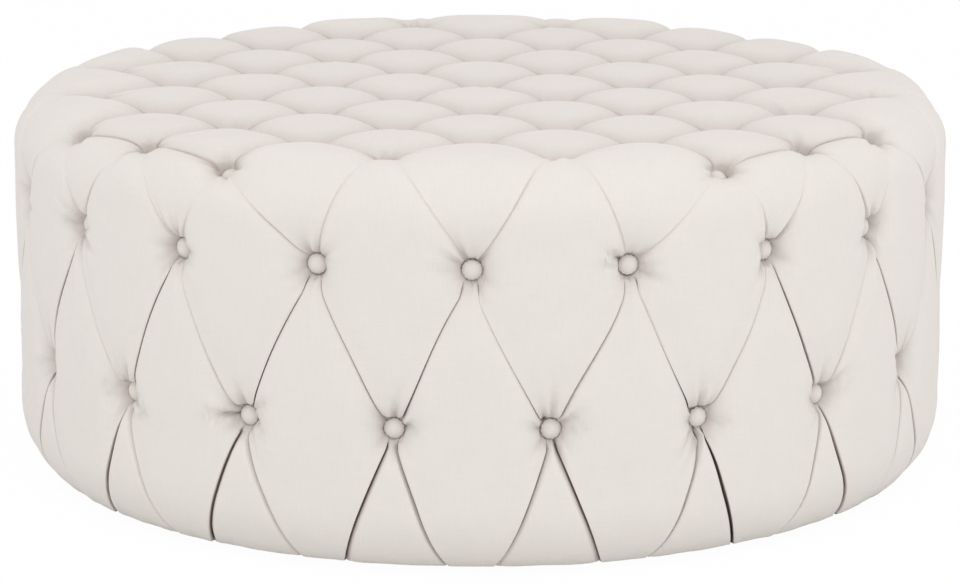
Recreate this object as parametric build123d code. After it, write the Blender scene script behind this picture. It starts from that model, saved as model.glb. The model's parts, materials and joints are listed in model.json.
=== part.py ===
from build123d import *
import math
import os

import numpy as np

# Round tufted ottoman coffee table. Millimetres, +Z up.
# The origin lies on the floor, under the middle of the table.

# Outside of the table
CREST_DIAMETER = 1000.0
OVERALL_HEIGHT = 412.0
SHOULDER_RADIUS = 65.0
HEM_DRAW_IN = 28.0
HEM_DRAW_HEIGHT = 60.0

# Padding: firm foam on the frame, and a soft tufted layer over it
TOP_PADDING = 75.0
SIDE_PADDING = 50.0
TOP_SOFT_LAYER = 42.0
SIDE_SOFT_LAYER = 32.0
FOAM_EDGE_RADIUS = 28.0
FABRIC_THICKNESS = 1.6
SOFT_CLEARANCE = 0.3

# Tufting
EDGE_ROW_INSET = 25.0
UPPER_ROW_DROP = 42.5
LOWER_ROW_HEIGHT = 139.0
TOP_TUFT_DEPTH = 38.0
EDGE_TUFT_DEPTH = 34.0
SIDE_TUFT_DEPTH = 27.0
TOP_PLEAT_DEPTH = 8.0
RIM_PLEAT_DEPTH = 4.0
SHOULDER_PLEAT_DEPTH = 8.0
SIDE_PLEAT_DEPTH = 7.0
HEM_PLEAT_DEPTH = 5.0
HEM_PLEAT_SPREAD = 57.0
SIDE_TUFTS = 20
EDGE_ROW = 5

# Buttons and their ties
BUTTON_DIAMETER = 20.0
BUTTON_DOME = 5.0
BUTTON_RIM = 1.6
BUTTON_CONE = 4.6
BUTTON_FOOT_DIAMETER = 6.0
BUTTON_SEAT = 0.3
TWINE_DIAMETER = 2.0
TWINE_HOLE_DIAMETER = 4.0
KNOT_DIAMETER = 7.0
WASHER_DIAMETER = 20.0
WASHER_THICKNESS = 1.5
WASHER_HOLE_DIAMETER = 5.0

# Wooden frame
DECK_THICKNESS = 15.0
WALL_THICKNESS = 5.0
BASE_THICKNESS = 18.0
BASE_RING_WIDTH = 90.0
POST_WIDTH = 45.0
POST_DEPTH = 35.0
POSTS = 8
JOIST_WIDTH = 25.0
JOIST_HEIGHT = 60.0
JOIST_END_GAP = 2.0
WOOD_CLEARANCE = 0.2

# Underside
GLIDE_HEIGHT = 8.0
GLIDE_DIAMETER = 30.0
GLIDE_EDGE = 2.0
GLIDES = 8
HEM_FLANGE = 47.0
DUST_COVER_THICKNESS = 0.6
DUST_COVER_GAP = 1.0
STAPLE_WIRE = 1.0
STAPLE_CROWN = 10.0
STAPLE_LEG = 8.0
HEM_STAPLES = 40
DUST_STAPLES = 24

# Screws
SCREW_DIAMETER = 4.0
SCREW_HEAD_DIAMETER = 8.0
SCREW_HEAD_HEIGHT = 3.0
DECK_SCREW_LENGTH = 45.0
BASE_SCREW_LENGTH = 50.0
GLIDE_SCREW_LENGTH = 18.0
GLIDE_SCREW_RECESS = 2.0
SCREW_CLEARANCE = 0.2
JOIST_SCREWS = 3

# Fineness of the soft surfaces
PATCH_DEGREE = 9
TOP_DIMPLE_SHARPNESS = 5
SIDE_DIMPLE_SHARPNESS = 8

crest_radius = CREST_DIAMETER / 2
flat_radius = crest_radius - SHOULDER_RADIUS
shoulder_z = OVERALL_HEIGHT - SHOULDER_RADIUS
hem_z = GLIDE_HEIGHT
hem_radius = crest_radius - HEM_DRAW_IN
hem_turn = 2 * math.atan2(HEM_DRAW_IN, HEM_DRAW_HEIGHT)
hem_arc_radius = HEM_DRAW_HEIGHT / math.sin(hem_turn)
wall_foot_z = hem_z + HEM_DRAW_HEIGHT

shoulder_arc = SHOULDER_RADIUS * math.pi / 2
wall_run = shoulder_z - wall_foot_z
hem_arc = hem_arc_radius * hem_turn
shoulder_end = flat_radius + shoulder_arc
wall_end = shoulder_end + wall_run
hem_end = wall_end + hem_arc

tuft_pitch = (flat_radius - EDGE_ROW_INSET) / EDGE_ROW
upper_row = shoulder_end + UPPER_ROW_DROP
lower_row = shoulder_end + shoulder_z - (hem_z + LOWER_ROW_HEIGHT)
tuft_step = 360 / SIDE_TUFTS
hem_pleat_angle = math.degrees(HEM_PLEAT_SPREAD / crest_radius)

deck_top = OVERALL_HEIGHT - TOP_PADDING
deck_bottom = deck_top - DECK_THICKNESS
base_bottom = hem_z + FABRIC_THICKNESS + SOFT_CLEARANCE
base_top = base_bottom + BASE_THICKNESS
wall_outer = crest_radius - SIDE_PADDING
wall_inner = wall_outer - WALL_THICKNESS
wall_height = deck_bottom - base_top
base_inner = wall_outer - BASE_RING_WIDTH
base_middle = wall_outer - BASE_RING_WIDTH / 2
inside_radius = wall_inner - WOOD_CLEARANCE
post_radius = math.sqrt(inside_radius ** 2 - (POST_WIDTH / 2) ** 2) - POST_DEPTH / 2
joist_y = tuft_pitch / 2
joist_bottom = deck_bottom - JOIST_HEIGHT
joist_end = math.sqrt(inside_radius ** 2 - (joist_y + JOIST_WIDTH / 2) ** 2) - JOIST_END_GAP
foam_top = OVERALL_HEIGHT - TOP_SOFT_LAYER
foam_side = crest_radius - SIDE_SOFT_LAYER
foam_bottom = base_top
padding_offset = FABRIC_THICKNESS + SOFT_CLEARANCE
flange_inner = hem_radius - HEM_FLANGE
dust_bottom = base_bottom - DUST_COVER_THICKNESS


def profile(run):
    """Radius, height and outward direction of the crest line, run millimetres from the middle."""
    if run <= flat_radius:
        return run, OVERALL_HEIGHT, 0.0, 1.0
    if run <= shoulder_end:
        turn = (run - flat_radius) / SHOULDER_RADIUS
        out, up = math.sin(turn), math.cos(turn)
        return flat_radius + SHOULDER_RADIUS * out, shoulder_z + SHOULDER_RADIUS * up, out, up
    if run <= wall_end:
        return crest_radius, shoulder_z - (run - shoulder_end), 1.0, 0.0
    turn = (run - wall_end) / hem_arc_radius
    out, up = math.cos(turn), -math.sin(turn)
    arc_centre = crest_radius - hem_arc_radius
    return arc_centre + hem_arc_radius * out, wall_foot_z + hem_arc_radius * up, out, up


def crown_point(place):
    """Point in space of a place on the flattened cover: x, y and depth under the crest."""
    x, y, depth = place
    run = math.hypot(x, y)
    if run == 0:
        return 0.0, 0.0, OVERALL_HEIGHT - depth
    radius, height, out, up = profile(run)
    scale = (radius - depth * out) / run
    return x * scale, y * scale, height - depth * up


def crown_normal(place):
    """Outward direction of the crest surface at a place on the flattened cover."""
    x, y, _ = place
    run = math.hypot(x, y)
    if run == 0:
        return 0.0, 0.0, 1.0
    _, _, out, up = profile(run)
    return x / run * out, y / run * out, up


def polar(run, degrees, depth):
    """A place on the flattened cover from its run and its angle."""
    angle = math.radians(degrees)
    return np.array([run * math.cos(angle), run * math.sin(angle), depth])


def tuft_at(column, row, depth):
    """A place on the square tufting grid of the top."""
    return np.array([column * tuft_pitch, row * tuft_pitch, depth])


def dimple(share, sharpness):
    """How much of a tuft's extra depth is left at a share of the way along a pleat."""
    return (1 - share) ** sharpness * (1 + sharpness * share)


def pleat(start, end, floor, sharpness, curved=False):
    """Line along a pleat, as deep as its two ends there and as its floor between them."""
    def point(share):
        if curved:
            first = math.degrees(math.atan2(start[1], start[0]))
            last = math.degrees(math.atan2(end[1], end[0]))
            swing = (last - first + 180) % 360 - 180
            runs = math.hypot(*start[:2]), math.hypot(*end[:2])
            line = polar(runs[0] + (runs[1] - runs[0]) * share, first + swing * share, 0)
        else:
            line = start * (1 - share) + end * share
        near = (start[2] - floor) * dimple(share, sharpness)
        far = (end[2] - floor) * dimple(1 - share, sharpness)
        line[2] = floor + near + far
        return line
    return point


def hem_line(start, end):
    """Level line along the hem."""
    return pleat(start, end, 0.0, 1, curved=True)


def held(point):
    """An edge drawn together in one point."""
    return lambda share: point.copy()


def coons(near, far, left, right, swell):
    """Surface between four edges, raised by its swell. Near and far run along u, left and right along v."""
    def place(u, v):
        ruled = (1 - v) * near(u) + v * far(u) + (1 - u) * left(v) + u * right(v)
        corners = ((1 - u) * (1 - v) * near(0) + u * (1 - v) * near(1)
                   + (1 - u) * v * far(0) + u * v * far(1))
        point = ruled - corners
        point[2] *= (1 - swell(u, v)) ** 2
        return point
    return place


def pillow_swell(u, v):
    """Rise of a pillow held on all sides."""
    return 16 * u * (1 - u) * v * (1 - v)


def skirt_swell(u, v):
    """Rise of a pillow held at its top point and on its two long sides, free at the hem."""
    return u * (2 - u) * 4 * v * (1 - v)


def half_skirt_swell(u, v):
    """Rise of one half of a pillow between two hem pleats, v from its middle line to a pleat."""
    return u * (2 - u) * (1 - v * v)


def reverse(edge):
    """The same edge run the other way."""
    return lambda share: edge(1 - share)


def top_tufts():
    """Grid places of the inner tufts and of the edge tufts."""
    reach = range(-EDGE_ROW, EDGE_ROW + 1)
    cells = [(i, j) for i in reach for j in reach if (i + j) % 2 == 0]
    corner = (EDGE_ROW - 1, EDGE_ROW - 1)
    inner = []
    edge = []
    for i, j in cells:
        longest = max(abs(i), abs(j))
        if longest < EDGE_ROW and (abs(i), abs(j)) != corner:
            inner.append((i, j))
        elif (abs(i), abs(j)) != (EDGE_ROW, EDGE_ROW):
            edge.append((i, j))
    return inner, edge


inner_cells, edge_cells = top_tufts()
top_places = {cell: tuft_at(*cell, TOP_TUFT_DEPTH) for cell in inner_cells}
top_places |= {cell: tuft_at(*cell, EDGE_TUFT_DEPTH) for cell in edge_cells}
upper_places = [polar(upper_row, k * tuft_step, SIDE_TUFT_DEPTH) for k in range(SIDE_TUFTS)]
lower_places = [polar(lower_row, (k + 0.5) * tuft_step, SIDE_TUFT_DEPTH) for k in range(SIDE_TUFTS)]


def nearest_upper(x, y):
    """The upper side tuft that lies nearest to a direction."""
    number = round(math.degrees(math.atan2(y, x)) / tuft_step) % SIDE_TUFTS
    return upper_places[number]


def top_patches():
    """Pillows of the top, out to the upper row of side buttons."""
    def grid_pleat(a, b):
        both_edge = a in edge_cells and b in edge_cells
        floor = RIM_PLEAT_DEPTH if both_edge else TOP_PLEAT_DEPTH
        return pleat(top_places[a], top_places[b], floor, TOP_DIMPLE_SHARPNESS)

    def shoulder_pleat(cell, upper):
        return pleat(top_places[cell], upper, SHOULDER_PLEAT_DEPTH, TOP_DIMPLE_SHARPNESS, curved=True)

    patches = []
    reach = range(-EDGE_ROW, EDGE_ROW + 1)
    for i, j in [(i, j) for i in reach for j in reach if (i + j) % 2 == 1]:
        ring = [(i + 1, j), (i, j + 1), (i - 1, j), (i, j - 1)]
        present = [cell in top_places for cell in ring]
        if sum(present) == 4:
            a, b, c, d = ring
            sides = grid_pleat(a, b), grid_pleat(d, c), grid_pleat(a, d), grid_pleat(b, c)
        elif sum(present) == 3:
            gap = present.index(False)
            b, c, d = ring[(gap + 1) % 4], ring[(gap + 2) % 4], ring[(gap + 3) % 4]
            upper = nearest_upper(*ring[gap])
            sides = (reverse(shoulder_pleat(b, upper)), grid_pleat(d, c),
                     reverse(shoulder_pleat(d, upper)), grid_pleat(b, c))
        elif sum(present) == 2:
            b, c = [cell for cell, there in zip(ring, present) if there]
            upper = nearest_upper(i, j)
            sides = (reverse(shoulder_pleat(b, upper)), reverse(shoulder_pleat(c, upper)),
                     held(upper), grid_pleat(b, c))
        else:
            continue
        patches.append(coons(*sides, pillow_swell))
    return patches


def edge_order():
    """Edge tufts round the table, from the one nearest the first lower side tuft."""
    return sorted(edge_cells, key=lambda cell: math.atan2(cell[1], cell[0]) % math.tau)


def side_patches():
    """Pillows of the side, from the edge tufts to the hem."""
    def side_pleat(a, b, floor=SIDE_PLEAT_DEPTH):
        return pleat(a, b, floor, SIDE_DIMPLE_SHARPNESS, curved=True)

    patches = []
    for k, cell in enumerate(edge_order()):
        edge, lower = top_places[cell], lower_places[k]
        before, after = upper_places[k], upper_places[(k + 1) % SIDE_TUFTS]
        shoulder = [pleat(edge, upper, SHOULDER_PLEAT_DEPTH, TOP_DIMPLE_SHARPNESS, curved=True)
                    for upper in (before, after)]
        patches.append(coons(shoulder[0], side_pleat(after, lower),
                             shoulder[1], side_pleat(before, lower), pillow_swell))

        middle = (k + 0.5) * tuft_step
        feet = [polar(hem_end, middle + turn, 0.0) for turn in (-hem_pleat_angle, hem_pleat_angle)]
        falls = [side_pleat(lower, foot, HEM_PLEAT_DEPTH) for foot in feet]
        patches.append(coons(falls[0], falls[1], held(lower), hem_line(*feet), skirt_swell))

        for upper, turn, fall, foot in zip((before, after), (-0.5, 0.5), falls, feet):
            centre = polar(hem_end, middle + turn * tuft_step, 0.0)
            fold = pleat(upper, centre, 0.0, SIDE_DIMPLE_SHARPNESS, curved=True)
            patches.append(coons(fold, fall, side_pleat(upper, lower), hem_line(centre, foot),
                                 half_skirt_swell))
    return patches


def bernstein_inverse(shares):
    """Turns points on a curve, at these shares of its length, into its control points."""
    degree = len(shares) - 1
    rows = [[math.comb(degree, j) * share ** j * (1 - share) ** (degree - j)
             for j in range(degree + 1)] for share in shares]
    return np.linalg.inv(np.array(rows))


# Shares of a patch at which its surface is worked out, closer together towards its edges
shares = [(1 - math.cos(math.pi * i / PATCH_DEGREE)) / 2 for i in range(PATCH_DEGREE + 1)]
to_poles = bernstein_inverse(shares)


def surface_face(point):
    """Smooth face through point(u, v)."""
    samples = np.array([[point(u, v) for v in shares] for u in shares])
    poles = np.einsum("ia,jb,abk->ijk", to_poles, to_poles, samples)
    return Face.make_bezier_surface([[Vector(*pole) for pole in row] for row in poles])


def cover_faces(patches, offset):
    """The tufted surface, offset millimetres under the outside of the fabric."""
    def lowered(patch):
        def point(u, v):
            place = patch(u, v)
            place[2] += offset
            return crown_point(place)
        return point
    return [surface_face(lowered(patch)) for patch in patches]


def hem_segments():
    """Angles where the hem's patches start and end."""
    turns = []
    for k in range(SIDE_TUFTS):
        middle = (k + 0.5) * tuft_step
        turns += [middle - tuft_step / 2, middle - hem_pleat_angle, middle + hem_pleat_angle]
    return list(zip(turns, turns[1:] + [turns[0] + 360]))


def hem_strips(near_ring, far_ring):
    """Faces round the table between two level rings, each given as radius and height."""
    faces = []
    for first, last in hem_segments():
        def point(u, v):
            angle = math.radians(first + (last - first) * v)
            radius, height = [near * (1 - u) + far * u for near, far in zip(near_ring, far_ring)]
            return radius * math.cos(angle), radius * math.sin(angle), height
        faces.append(surface_face(point))
    return faces


def hem_ring(offset):
    """Radius and height of the hem, offset millimetres under the outside of the fabric."""
    radius, height, out, up = profile(hem_end)
    return radius - offset * out, height - offset * up


def tuft_axis(place):
    """Frame at a tuft: on the fabric, pointing out of the padding."""
    return Plane(origin=crown_point(place), z_dir=crown_normal(place))


top_axes = [tuft_axis(top_places[cell]) for cell in inner_cells]
edge_axes = [tuft_axis(top_places[cell]) for cell in edge_cells]
upper_axes = [tuft_axis(place) for place in upper_places]
lower_axes = [tuft_axis(place) for place in lower_places]


def deck_reach(axis):
    """Distance along a tuft's axis from the fabric to the underside of the deck."""
    return (axis.origin.Z - deck_bottom) / axis.z_dir.Z


def wall_reach(axis):
    """Distance along a tuft's axis from the fabric to the inside of the wall."""
    return math.hypot(axis.origin.X, axis.origin.Y) - wall_inner


def ring_of(count, radius, first=0.0):
    """Evenly spaced angles and points round the table."""
    for k in range(count):
        angle = first + 360 * k / count
        turn = math.radians(angle)
        yield angle, radius * math.cos(turn), radius * math.sin(turn)


def disc(radius, thickness, bottom):
    """Flat round plate standing on a height."""
    return Pos(0, 0, bottom) * Cylinder(radius, thickness, align=(Align.CENTER, Align.CENTER, Align.MIN))


def bar(size_x, size_y, size_z, bottom):
    """Rectangular bar standing on a height."""
    return Pos(0, 0, bottom) * Box(size_x, size_y, size_z, align=(Align.CENTER, Align.CENTER, Align.MIN))


def needle(axis, diameter, start, length):
    """Round rod along a tuft's axis, from start going inwards."""
    rod = Pos(0, 0, start - length) * Cylinder(
        diameter / 2, length, align=(Align.CENTER, Align.CENTER, Align.MIN))
    return axis.location * rod


def twine_holes(axes, reach):
    """Drills for the twines, from outside the foam to past the frame."""
    return [needle(axis, TWINE_HOLE_DIAMETER, 0, reach(axis) + DECK_THICKNESS) for axis in axes]


def tufted_solid(patches, offset):
    """Drum inside the tufted surface, closed flat at its hem."""
    ring = hem_ring(offset)
    faces = cover_faces(patches, offset) + hem_strips(ring, (0.0, ring[1]))
    return Solid(Shell(Face.sew_faces(faces)[0]))


def make_cover(patches):
    """Fabric skin, turned in under the base at its hem."""
    outer, inner = hem_ring(0.0), hem_ring(FABRIC_THICKNESS)
    outer_end, inner_end = (flange_inner, outer[1]), (flange_inner, inner[1])
    faces = cover_faces(patches, 0.0) + cover_faces(patches, FABRIC_THICKNESS)
    faces += hem_strips(outer, outer_end) + hem_strips(inner, inner_end)
    faces += hem_strips(outer_end, inner_end)
    return Solid(Shell(Face.sew_faces(faces)[0]))


def foam_form(radius, top, edge_radius, bottom):
    """Round block with a rounded top edge."""
    block = disc(radius, top - bottom, bottom)
    return fillet(block.faces().sort_by(Axis.Z)[-1].edges(), edge_radius)


def make_padding(patches):
    """Soft layer that fills the pillows, over the firm foam and down to the hem."""
    drum = tufted_solid(patches, padding_offset)
    core = foam_form(foam_side + SOFT_CLEARANCE, foam_top + SOFT_CLEARANCE,
                     FOAM_EDGE_RADIUS, foam_bottom - SOFT_CLEARANCE)
    return drum - core - disc(wall_outer + SOFT_CLEARANCE, foam_bottom, 0)


def make_foams():
    """Firm foam: a disc on the deck and a band round the wall."""
    whole = foam_form(foam_side, foam_top, FOAM_EDGE_RADIUS, foam_bottom)
    top = whole.split(Plane((0, 0, deck_top)), keep=Keep.TOP)
    band = whole.split(Plane((0, 0, deck_top - SOFT_CLEARANCE)), keep=Keep.BOTTOM)
    band = band - disc(wall_outer + SOFT_CLEARANCE, OVERALL_HEIGHT, 0)
    top = top - twine_holes(top_axes + edge_axes, deck_reach)
    band = band - twine_holes(upper_axes + lower_axes, wall_reach)
    return top, band


def make_button():
    """Covered button: a cone that nests in the pleats, a thin rim and a domed face."""
    radius = BUTTON_DIAMETER / 2
    foot = BUTTON_FOOT_DIAMETER / 2
    cone_top = BUTTON_SEAT + BUTTON_CONE
    rim_top = cone_top + BUTTON_RIM
    apex = rim_top + BUTTON_DOME
    ball = (radius ** 2 + BUTTON_DOME ** 2) / (2 * BUTTON_DOME)
    half_turn = math.asin(radius / ball) / 2
    shoulder = (ball * math.sin(half_turn), apex - ball + ball * math.cos(half_turn))
    outline = (Polyline((0, apex), (0, BUTTON_SEAT), (foot, BUTTON_SEAT),
                        (radius, cone_top), (radius, rim_top))
               + ThreePointArc((radius, rim_top), shoulder, (0, apex)))
    section = make_face(Plane.XZ * outline)
    return revolve(section, Axis.Z)


def make_washer():
    """Flat washer lying on its frame's origin."""
    hole = Cylinder(WASHER_HOLE_DIAMETER / 2, 2 * WASHER_THICKNESS)
    return disc(WASHER_DIAMETER / 2, WASHER_THICKNESS, 0) - hole


def twine(axis, reach):
    """Tufting twine from a button's foot to a knot behind its washer."""
    end = reach + WOOD_CLEARANCE + WASHER_THICKNESS + KNOT_DIAMETER / 2
    rod = needle(axis, TWINE_DIAMETER, BUTTON_SEAT, BUTTON_SEAT + end)
    return rod + axis.location * Pos(0, 0, -end) * Sphere(KNOT_DIAMETER / 2)


def deck_washer(axis):
    """Washer under the deck, where a tuft's twine comes through."""
    spot = axis.origin - axis.z_dir * deck_reach(axis)
    return Pos(spot.X, spot.Y, deck_bottom - WASHER_THICKNESS) * make_washer()


def wall_washer(axis):
    """Washer inside the wall, where a tuft's twine comes through."""
    back = wall_reach(axis) + WOOD_CLEARANCE + WASHER_THICKNESS
    return axis.location * Pos(0, 0, -back) * make_washer()


def screw(length):
    """Flat-headed screw pointing down, its head's top at the origin."""
    align = (Align.CENTER, Align.CENTER, Align.MAX)
    head = Cylinder(SCREW_HEAD_DIAMETER / 2, SCREW_HEAD_HEIGHT, align=align)
    return head + Cylinder(SCREW_DIAMETER / 2, length, align=align)


def post_places():
    """Angles and points of the posts along the wall, clear of the tuft lines."""
    return list(ring_of(POSTS, post_radius, 180 / POSTS))


def joist_post_places():
    """Points of the posts under the joists' ends."""
    x = joist_end - POST_DEPTH / 2
    return [(side * x, row * joist_y) for side in (-1, 1) for row in (-1, 1)]


def deck_screws():
    """Screws through the deck into the posts and the joists."""
    spots = [(x, y) for _, x, y in post_places()]
    spread = joist_end / JOIST_SCREWS * 2
    for row in (-1, 1):
        for k in range(JOIST_SCREWS):
            spots.append(((k - (JOIST_SCREWS - 1) / 2) * spread, row * joist_y))
    return [Pos(x, y, deck_top) * screw(DECK_SCREW_LENGTH) for x, y in spots]


def base_screws():
    """Screws up through the base ring into all the posts."""
    spots = [(x, y) for _, x, y in post_places()] + joist_post_places()
    return [Pos(x, y, base_bottom) * Rot(180, 0, 0) * screw(BASE_SCREW_LENGTH) for x, y in spots]


def glide_screws():
    """Screws up through the glides into the base ring."""
    return [Pos(x, y, GLIDE_SCREW_RECESS) * Rot(180, 0, 0) * screw(GLIDE_SCREW_LENGTH)
            for _, x, y in ring_of(GLIDES, base_middle)]


def glide(x, y):
    """Round foot with a sunk screw."""
    foot = disc(GLIDE_DIAMETER / 2, dust_bottom, 0)
    foot = fillet(foot.faces().sort_by(Axis.Z)[0].edges(), GLIDE_EDGE)
    well = disc(SCREW_HEAD_DIAMETER / 2 + SCREW_CLEARANCE, GLIDE_SCREW_RECESS + SCREW_HEAD_HEIGHT, 0)
    bore = disc(SCREW_DIAMETER / 2, GLIDE_HEIGHT + FABRIC_THICKNESS, 0)
    return Pos(x, y, 0) * (foot - well - bore)


def staple_ring(count, radius, crown_top):
    """Staples round the underside, their crowns flat against it and their legs up in the wood."""
    crown = Box(STAPLE_WIRE, STAPLE_CROWN, STAPLE_WIRE, align=(Align.CENTER, Align.CENTER, Align.MAX))
    leg = Box(STAPLE_WIRE, STAPLE_WIRE, STAPLE_LEG, align=(Align.CENTER, Align.CENTER, Align.MIN))
    side = (STAPLE_CROWN - STAPLE_WIRE) / 2
    staple = crown + Pos(0, side, -STAPLE_WIRE) * leg + Pos(0, -side, -STAPLE_WIRE) * leg
    return [Pos(x, y, crown_top) * Rot(0, 0, angle) * staple
            for angle, x, y in ring_of(count, radius, 180 / count)]


def save(name, shape):
    """One file for each sub-part; a list of pieces becomes a group."""
    if isinstance(shape, list):
        shape = Compound(children=[Solid(piece.solid().wrapped) for piece in shape])
    shape.label = name
    export_step(shape, f"parts/{name}.step")


def soft_parts():
    """Cover, padding and foam."""
    patches = top_patches() + side_patches()
    save("tufted_cover", make_cover(patches))
    save("tufted_padding", make_padding(patches))
    top, band = make_foams()
    save("top_foam", top)
    save("side_foam", band)


def frame_parts():
    """Wooden frame and its screws."""
    deck_fixings = deck_screws()
    base_fixings = base_screws()
    foot_fixings = glide_screws()
    deck = disc(wall_outer, DECK_THICKNESS, deck_bottom)
    save("deck_panel", deck - twine_holes(top_axes + edge_axes, deck_reach) - deck_fixings)
    wall = disc(wall_outer, wall_height, base_top) - disc(wall_inner, wall_height, base_top)
    save("side_wall", wall - twine_holes(upper_axes + lower_axes, wall_reach))
    ring = disc(wall_outer, BASE_THICKNESS, base_bottom) - disc(base_inner, BASE_THICKNESS, base_bottom)
    save("base_ring", ring - base_fixings - foot_fixings)
    for number, (angle, x, y) in enumerate(post_places(), 1):
        post = bar(POST_DEPTH, POST_WIDTH, wall_height, base_top)
        save(f"wall_post_{number}", Pos(x, y, 0) * Rot(0, 0, angle) * post - deck_fixings - base_fixings)
    for number, row in enumerate((-1, 1), 1):
        joist = bar(2 * joist_end, JOIST_WIDTH, JOIST_HEIGHT, joist_bottom)
        save(f"joist_{number}", Pos(0, row * joist_y, 0) * joist - deck_fixings)
    for number, (x, y) in enumerate(joist_post_places(), 1):
        post = bar(POST_DEPTH, JOIST_WIDTH, joist_bottom - base_top, base_top)
        save(f"joist_post_{number}", Pos(x, y, 0) * post - base_fixings)
    save("deck_screws", deck_fixings)
    save("base_screws", base_fixings)
    save("glide_screws", foot_fixings)


def tuft_parts():
    """Buttons, twines and washers."""
    button = make_button()
    for name, axes in (("top_buttons", top_axes), ("edge_buttons", edge_axes),
                       ("upper_side_buttons", upper_axes), ("lower_side_buttons", lower_axes)):
        save(name, [axis.location * button for axis in axes])
    save("top_twines", [twine(axis, deck_reach(axis)) for axis in top_axes + edge_axes])
    save("side_twines", [twine(axis, wall_reach(axis)) for axis in upper_axes + lower_axes])
    save("top_washers", [deck_washer(axis) for axis in top_axes + edge_axes])
    save("side_washers", [wall_washer(axis) for axis in upper_axes + lower_axes])


def underside_parts():
    """Dust cover, staples and glides."""
    sheet = disc(flange_inner - DUST_COVER_GAP, DUST_COVER_THICKNESS, dust_bottom)
    save("dust_cover", sheet - glide_screws())
    hem_row = (flange_inner + wall_outer) / 2
    save("hem_staples", staple_ring(HEM_STAPLES, hem_row, hem_z))
    dust_row = flange_inner - DUST_COVER_GAP - STAPLE_CROWN
    save("dust_cover_staples", staple_ring(DUST_STAPLES, dust_row, dust_bottom))
    for number, (_, x, y) in enumerate(ring_of(GLIDES, base_middle), 1):
        save(f"glide_{number}", glide(x, y))


os.makedirs("parts", exist_ok=True)
soft_parts()
frame_parts()
tuft_parts()
underside_parts()
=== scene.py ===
import json
import math
from collections import namedtuple

import bmesh
import bpy
import numpy as np
from mathutils import Euler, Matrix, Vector


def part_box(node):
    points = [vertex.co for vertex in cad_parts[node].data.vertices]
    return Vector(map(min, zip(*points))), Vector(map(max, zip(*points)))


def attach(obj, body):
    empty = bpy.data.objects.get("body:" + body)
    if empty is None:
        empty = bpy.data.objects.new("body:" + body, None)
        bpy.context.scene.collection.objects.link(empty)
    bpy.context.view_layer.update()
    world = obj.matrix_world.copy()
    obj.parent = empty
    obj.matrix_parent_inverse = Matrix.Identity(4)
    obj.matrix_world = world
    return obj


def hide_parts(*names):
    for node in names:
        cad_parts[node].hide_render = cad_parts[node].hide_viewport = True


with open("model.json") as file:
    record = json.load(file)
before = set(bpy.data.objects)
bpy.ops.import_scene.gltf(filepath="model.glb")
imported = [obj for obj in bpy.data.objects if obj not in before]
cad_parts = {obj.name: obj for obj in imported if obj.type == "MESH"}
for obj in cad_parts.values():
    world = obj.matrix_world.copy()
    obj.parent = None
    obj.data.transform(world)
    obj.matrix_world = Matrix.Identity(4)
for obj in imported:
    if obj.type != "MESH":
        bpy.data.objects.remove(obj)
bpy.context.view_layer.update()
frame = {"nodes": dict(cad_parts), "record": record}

# Sizes are in metres, as in the frame. The cover is worked out on a flat chart: the cloth spread
# out round the middle of the top, where a place's distance from the middle is its run along the
# crest line over the rim and down the side.
MM = 0.001
TINY = 1e-9

# Outline of the drum, as the frame's cover has it
RADIUS = 500 * MM
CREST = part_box("tufted_cover")[1].z
HEM_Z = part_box("tufted_cover")[0].z
SHOULDER = 65 * MM
DRAW_IN = 28 * MM
DRAW_HEIGHT = 60 * MM
HEM_TURN = [inset * MM for inset in (1.5, 6, 15, 30, 47)]

# Tufting: rows of tufts from the middle of the top to its edge, tufts in a row round the side,
# places of the rows, and the depths of the tufts and of the pleats where they meet in them
EDGE_ROW = 5
SIDE_TUFTS = 20
EDGE_ROW_INSET = 25 * MM
UPPER_ROW_DROP = 42.5 * MM
LOWER_ROW_HEIGHT = 139 * MM
HEM_PLEAT_SPREAD = 57 * MM
TUFT_DEPTHS = {"inner": 38 * MM, "edge": 34 * MM, "upper": 27 * MM, "lower": 27 * MM}
PLEATS_MEET = {"inner": 19 * MM, "edge": 12 * MM, "upper": 9 * MM, "lower": 9 * MM}

# Pleats: depth of the valley, how sharply it turns to its ends, depth of the slit along its
# middle, how far the upper pillow laps over the lower one, and how much it sways; then the
# shares of that sway which go to its bow and to its wave
PleatKind = namedtuple("PleatKind", "name valley sharpness slit lap sway")
TOP_PLEAT = PleatKind("top", 19 * MM, 4, 2.6 * MM, 0, 1.5 * MM)
RIM_PLEAT = PleatKind("top", 12 * MM, 4, 2.6 * MM, 0, 1.5 * MM)
SHOULDER_PLEAT = PleatKind("shoulder", 1.8 * MM, 6, 2.0 * MM, 1.0 * MM, 3.5 * MM)
SIDE_PLEAT = PleatKind("side", 2.6 * MM, 5, 12 * MM, 8.0 * MM, 6.0 * MM)
HEM_PLEAT = PleatKind("hem", 1.4 * MM, 6, 9 * MM, 6.0 * MM, 4.5 * MM)
MIDDLE_LINE = PleatKind("seamless", 0, 8, 0, 0, 0)
HEM_LINE = PleatKind("seamless", 0, 14, 0, 0, 0)
HELD = PleatKind("seamless", 0, 1, 0, 0, 0)
SWAY_SHARES = 1, 0.6

# Slits: how far each opens at random, how far from the pleat the lap and the step beside it
# reach, and the least difference in run that makes one of two pillows the upper one
SLIT_GAIN = 0.65, 1.25
LAP_REACH = 2.8 * MM
STEP_REACH = 6 * MM
LEAST_DROP = 1 * MM

# The two lips of a pleat: width of the slit's slope, share of the lap by which the lip moves over
# the pleat, and share of the lap by which the cloth beside it is sunk
Lip = namedtuple("Lip", "slope lap_share sunk_share")
UPPER_LIP = Lip(1.0 * MM, -1.0, -0.12)
LOWER_LIP = Lip(1.6 * MM, 0.5, 0.7)

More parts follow.
